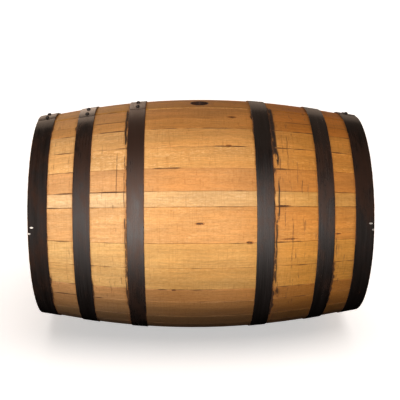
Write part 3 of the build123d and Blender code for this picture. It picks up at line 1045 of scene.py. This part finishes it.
def board_outline(low, high, radius, inset, edge_points=24, arc_points=14):
    """A board's outline as (y, z): up its high edge, along the rim, down its low edge and back."""
    low, high, radius = max(low, -radius) + inset, min(high, radius) - inset, radius - inset
    low, high = max(low, -radius), min(high, radius)
    ends = {y: sqrt(max(radius**2 - y**2, 0)) for y in (low, high)}
    up = np.linspace(-1, 1, edge_points, endpoint=False)
    outline = [(high, t * ends[high]) for t in up]
    turn_high, turn_low = acos(high / radius), acos(low / radius)
    for t in np.linspace(turn_high, turn_low, arc_points, endpoint=False):
        outline.append((radius * cos(t), radius * sin(t)))
    outline += [(low, -t * ends[low]) for t in up]
    for t in np.linspace(turn_low, turn_high, arc_points, endpoint=False):
        outline.append((radius * cos(t), -radius * sin(t)))
    return np.array(outline)


def rim_dirt(y, z):
    """How dirty a head is near the croze, where dust and drips collect."""
    to_rim = outside_r(CROZE_X) - STAVE_T - np.hypot(y, z)
    uneven = 1 + 0.5 * wander(np.degrees(np.arctan2(z, y)), 710, 21, 50)
    return 0.75 * np.exp(-np.maximum(to_rim, 0) / (7 * MM * uneven))


def make_board(node, side, number):
    """One head board with eased edges, bevelled to fit the croze."""
    low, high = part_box(node)
    rim_r = outside_r(CROZE_X) - STAVE_T * hypot(1, END_SLOPE) + CROZE_DEPTH - HEAD_FIT
    tongue = CROZE_FLOOR / 2 - HEAD_FIT
    ease = 1.2 * MM
    sink = 0.3 * MM * (1 + wander(number, 700, 2.3)) / 2
    outer_r = rim_r - (HEAD_OUTER - tongue) * HEAD_BEVEL
    inner_r = rim_r - (HEAD_INNER - tongue) * HEAD_BEVEL
    layers = [  # height above the groove's centre, radius, inset of the edges
        (HEAD_OUTER - sink, outer_r, 4 * ease),
        (HEAD_OUTER - sink, outer_r, ease),
        (HEAD_OUTER - sink - 0.3 * ease, outer_r + 0.5 * ease, 0.3 * ease),
        (HEAD_OUTER - sink - ease, outer_r + 0.9 * ease * HEAD_BEVEL, 0),
        (tongue, rim_r, 0),
        (-tongue, rim_r, 0),
        (-HEAD_INNER, inner_r, 0),
        (-HEAD_INNER, inner_r, 2 * ease),
    ]
    rings, grain, wear, marks = [], [], [], []
    offset = np.append(np.random.default_rng(800 + number).uniform(-9, 9, 2), 0)
    for height, radius, inset in layers:
        outline = board_outline(low.y, high.y, radius, inset)
        y, z = outline.T
        rings.append(vectors(side * (CROZE_X + height), y, z))
        grain.append(vectors(z, y, HEAD_OUTER - height) + offset)
        to_joint = np.minimum(y - low.y, high.y - y)
        wear.append(vectors(np.maximum(to_joint, 0), rim_dirt(y, z), 0.3))
        marks.append(vectors(9.0, 0.0, 0.75 + 0.3 * wander(z, 720 + number, 0.06, 0.15)))
    fields = {"grain": grain, "wear": wear, "marks": marks}
    return tube(np.array(rings), {name: np.array(values) for name, values in fields.items()})


HEAD_TONES = [(TAN, 0.9), (HONEY, 0.5), (STRAW, 0.8), (TAN, 0.4), (AMBER, 1.0), (WHEAT, 0.6)]
for side_name, side in (("left", -1), ("right", 1)):
    for number in range(6):
        node = f"{side_name}_head_board_{number + 1}"
        mesh = make_board(node, side, number + (side > 0) * 6)
        piece(f"{node}_oak", mesh, node, head_oak, *HEAD_TONES[number])

# ---------------- bung and dowels


def make_bung():
    """The driven bung, with a hammered top."""
    low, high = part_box("bung")
    top_r = (high.x - low.x) / 2 + BUNG_EDGE * BUNG_TAPER
    height = high.z - low.z
    levels = [(0.3 * MM, 0), (top_r * 0.5, 0), (top_r - 3.5 * BUNG_EDGE, 0), (top_r - BUNG_EDGE, 0)]
    levels += [(top_r - 0.35 * BUNG_EDGE, 0.25 * BUNG_EDGE), (top_r - 0.06 * MM, BUNG_EDGE)]
    levels += [(top_r - d * BUNG_TAPER, d) for d in np.linspace(BUNG_EDGE, height - BUNG_EDGE, 6)[1:]]
    foot_r = top_r - height * BUNG_TAPER
    levels += [(foot_r - BUNG_EDGE, height), (0.3 * MM, height)]
    turns = np.radians(np.arange(0, 360, 6))
    rings, grain = [], []
    for radius, depth in levels:
        dent = 0.35 * MM * (1 + wander(np.degrees(turns), 900, 60, 130)) / 2 if depth == 0 else 0
        x, y = radius * np.cos(turns), radius * np.sin(turns)
        rings.append(vectors(x, y, high.z - depth - dent))
        grain.append(vectors(depth, x, y) + 3.7)
    rings = np.array(rings)
    return tube(rings, {"grain": np.array(grain), "wear": np.full(rings.shape, (0.01, 0.25, 0.1))})


BUNG_TONE = (0.022, 0.011, 0.008)
piece("bung_wood", make_bung(), "bung", bung_wood, BUNG_TONE)


def make_dowel_oak():
    """Plain turned oak for the hidden dowels, which keep their CAD meshes."""
    look = Look(bpy.data.materials.new("dowel_oak"))
    rings = look.noise(look.place(), (900, 8, 900), 3, 0.6)
    look.surface("Base Color", look.blend(look.step(rings, 0.3, 0.7), (0.44, 0.25, 0.11), (0.62, 0.40, 0.20)))
    look.surface("Roughness", look.step(rings, 0.3, 0.7, 0.5, 0.65))
    look.bump(rings, 0.2 * MM)
    return look.owner


dowel_oak = make_dowel_oak()
for node in ("left_head_dowels", "right_head_dowels"):
    nodes[node].data.materials.clear()
    nodes[node].data.materials.append(dowel_oak)

# ---------------- bung hole


def cut_bung_hole():
    """Drills the tapered bung hole through its stave, with an eased lip."""
    stave = bpy.data.objects["bung_stave_oak"]
    turns = np.radians(np.arange(0, 360, 5))
    lip = 1.5 * MM
    top = BILGE_R - 0.1 * MM
    levels = [(BUNG_HOLE_R + lip + 3 * MM, top + 3 * MM), (BUNG_HOLE_R + lip, top)]
    levels += [(BUNG_HOLE_R - 0.2 * lip, top - 0.5 * lip), (BUNG_HOLE_R - lip * BUNG_TAPER, top - 1.3 * lip)]
    foot = STAVE_T + 3 * MM
    levels.append((BUNG_HOLE_R - foot * BUNG_TAPER, BILGE_R - foot))
    rings = [vectors(r * np.cos(turns), r * np.sin(turns), z) for r, z in levels]
    cutter = place_in_scene("cutter", tube(np.array(rings)))
    cut = stave.modifiers.new("hole", "BOOLEAN")
    cut.object, cut.operation, cut.solver = cutter, "DIFFERENCE", "EXACT"
    depsgraph = bpy.context.evaluated_depsgraph_get()
    result = bpy.data.meshes.new_from_object(
        stave.evaluated_get(depsgraph), preserve_all_data_layers=True, depsgraph=depsgraph
    )
    stave.modifiers.clear()
    stave.data = result
    bpy.data.objects.remove(cutter)


cut_bung_hole()

# ---------------- stage, light and camera

FLOOR_GLOW = 0.5
FLOOR_WHITE = (0.93, 0.925, 0.915)
FLOOR_PALER = (0.95, 0.945, 0.94)
CAMERA_DISTANCE = 2.459
CAMERA_AZIMUTH = -1.7
CAMERA_ELEVATION = 20.1
CAMERA_ROLL = 0.24
LENS = 75.6
AIM_UP = 0.90  # the camera looks this many degrees above the barrel's middle
AIM_RIGHT = 0.07


def direction(azimuth, elevation):
    """The way from the barrel to a light or the camera, in degrees. Azimuth 0 is straight in front."""
    a, e = radians(azimuth), radians(elevation)
    return Vector((sin(a) * cos(e), -cos(a) * cos(e), sin(e)))


def make_floor():
    """A wide plain floor that the barrel lies on."""
    size, low = 14.0, -BILGE_R - 0.4 * MM
    corners = [(-size, -size, low), (size, -size, low), (size, size, low), (-size, size, low)]
    mesh = bpy.data.meshes.new("floor")
    mesh.from_pydata(corners, [], [(0, 1, 2, 3)])
    floor = place_in_scene("floor", mesh)
    look = Look(bpy.data.materials.new("floor_white"))
    look.surface("Base Color", look.blend(look.noise(look.place(), (3, 3, 3), 3), FLOOR_WHITE, FLOOR_PALER))
    look.surface("Roughness", 0.9)
    look.surface("Specular IOR Level", 0.1)
    look.surface("Emission Color", (1.0, 1.0, 1.0))
    look.surface("Emission Strength", FLOOR_GLOW)
    mesh.materials.append(look.owner)
    floor.visible_diffuse = False
    floor.visible_glossy = False
    floor.visible_shadow = False
    return floor


def make_light(name, kind, azimuth, elevation, distance, target=(0, 0, 0), **settings):
    """A light that looks at a target from a direction."""
    data = bpy.data.lights.new(name, kind)
    for key, value in settings.items():
        setattr(data, key, value)
    lamp = place_in_scene(name, data)
    lamp.location = direction(azimuth, elevation) * distance
    aim = Vector(target) - lamp.location
    lamp.rotation_euler = aim.to_track_quat("-Z", "Y").to_euler()
    return lamp


def light_only(lamp, obj, include):
    """Lets a lamp light only this object, or everything but it."""
    group = bpy.data.collections.new(lamp.name + "_receivers")
    group.objects.link(obj)
    lamp.light_linking.receiver_collection = group
    state = "INCLUDE" if include else "EXCLUDE"
    group.collection_objects[0].light_linking.link_state = state


def lobe(look, angle, middle, spread):
    """A soft hump of height 1 round an angle, both in degrees."""
    away = (angle - radians(middle)) / radians(spread)
    return look.math("EXPONENT", away * away * -0.5)


def make_panel():
    """A curved sheet of light in front of the barrel that only its gloss sees."""
    azimuths, elevations = np.radians(np.arange(-80, 71, 10)), np.radians(np.arange(-80, 86, 10))
    a, e = np.meshgrid(azimuths, elevations)
    points = PANEL_DISTANCE * vectors(np.sin(a) * np.cos(e), -np.cos(a) * np.cos(e), np.sin(e))
    rows, columns = a.shape
    corner = (np.arange(rows - 1)[:, None] * columns + np.arange(columns - 1)).ravel()
    faces = np.stack([corner, corner + columns, corner + columns + 1, corner + 1], 1)
    mesh = bpy.data.meshes.new("light_panel")
    mesh.from_pydata(points.reshape(-1, 3).tolist(), [], faces.tolist())
    panel = place_in_scene("light_panel", mesh)
    look = Look(bpy.data.materials.new("panel_light"))
    x, y, z = look.parts(look.place())
    azimuth = look.math("ARCTAN2", x, y * -1.0)
    elevation = look.math("ARCTAN2", z, look.math("SQRT", x * x + y * y))
    light = lobe(look, azimuth, *PANEL_AZ) * lobe(look, elevation, *PANEL_EL)
    emission = look.add("Emission", {"Color": PANEL_TINT, "Strength": light * PANEL_LIGHT})
    output = look.tree.nodes["Material Output"].inputs["Surface"]
    look.feed(output, emission.outputs[0])
    mesh.materials.append(look.owner)
    panel.visible_camera = False
    panel.visible_diffuse = False
    panel.visible_shadow = False


def make_world():
    """Studio walls as the barrel sees them: a bright one behind to the left, a dim one to the right."""
    world = bpy.data.worlds.new("studio")
    bpy.context.scene.world = world
    look = Look(world)
    background = look.tree.nodes["Background"]
    x, y, z = look.parts(look.add("TexCoord", {}).outputs["Generated"])
    turned = look.math("ARCTAN2", x * -1.0, y)

    def wall(side, end, low, high, lean):
        """A bright part of the walls between two angles. 0 is straight behind, growing to the left.
        Its top edge leans down on both sides of its highest point."""
        level = look.step(turned, *map(radians, side)) * look.step(turned, *map(radians, end))
        top = z + abs(turned - radians(WALL_PEAK)) * lean
        return level * look.step(z, *low) * look.step(top, *high)

    light = wall(*LEFT_WALL) * look.step(turned, radians(1), radians(10), 0.3, 1.7)
    light = light + wall(*RIGHT_WALL) * 1.5 + look.step(z, -0.2, 0.3, 0.0, ROOM)
    warm = look.scaled(WALL_TINT, light)
    seen = look.add("LightPath", {}).outputs["Is Camera Ray"]
    look.feed(background.inputs["Color"], look.blend(seen, warm, (1, 1, 1)))


PANEL_DISTANCE = 4.0
PANEL_AZ = (-14, 24)  # middle and spread of its light
PANEL_EL = (16, 28)
PANEL_LIGHT = 4.9
PANEL_TINT = (1.0, 0.98, 0.95)
WALL_PEAK = 12
# Each wall's right and left edges in degrees, its bottom and top edges in z, and how much its top leans.
# Each edge is where its fade starts and ends.
LEFT_WALL = ((-32, -20), (105, 85), (-0.1, 0.05), (0.77, 0.69), 0.57)
RIGHT_WALL = ((-120, -105), (-50, -65), (-0.1, 0.2), (0.8, 0.6), 0.0)
ROOM = 0.15  # light from the rest of the room
WALL_TINT = (1.0, 0.74, 0.56)
floor = make_floor()
make_world()
make_panel()
key = make_light(
    "key", "SPOT", -9, 22, 2.9, target=(-0.18, -0.3, 0.11), energy=425, shadow_soft_size=0.2,
    spot_size=radians(17.6), spot_blend=1.0, color=(1.0, 0.97, 0.93),
)  # fmt: skip
key.scale.x = 2.6
key.visible_glossy = False
light_only(key, floor, False)
overhead = make_light("overhead", "SUN", 20, 70, 3, energy=1.5, angle=radians(50))
light_only(overhead, floor, True)

camera = place_in_scene("camera", bpy.data.cameras.new("camera"))
camera.data.lens = LENS
camera.data.clip_end = 60
camera.location = direction(CAMERA_AZIMUTH, CAMERA_ELEVATION) * CAMERA_DISTANCE
look_at = (-camera.location).to_track_quat("-Z", "Y")
tilt = Matrix.Rotation(radians(AIM_UP), 3, "X") @ Matrix.Rotation(radians(-AIM_RIGHT), 3, "Y")
roll = Matrix.Rotation(radians(CAMERA_ROLL), 3, "Z")
camera.rotation_euler = (look_at.to_matrix() @ tilt @ roll).to_euler()
bpy.context.scene.camera = camera
bpy.context.scene.view_settings.view_transform = "Standard"
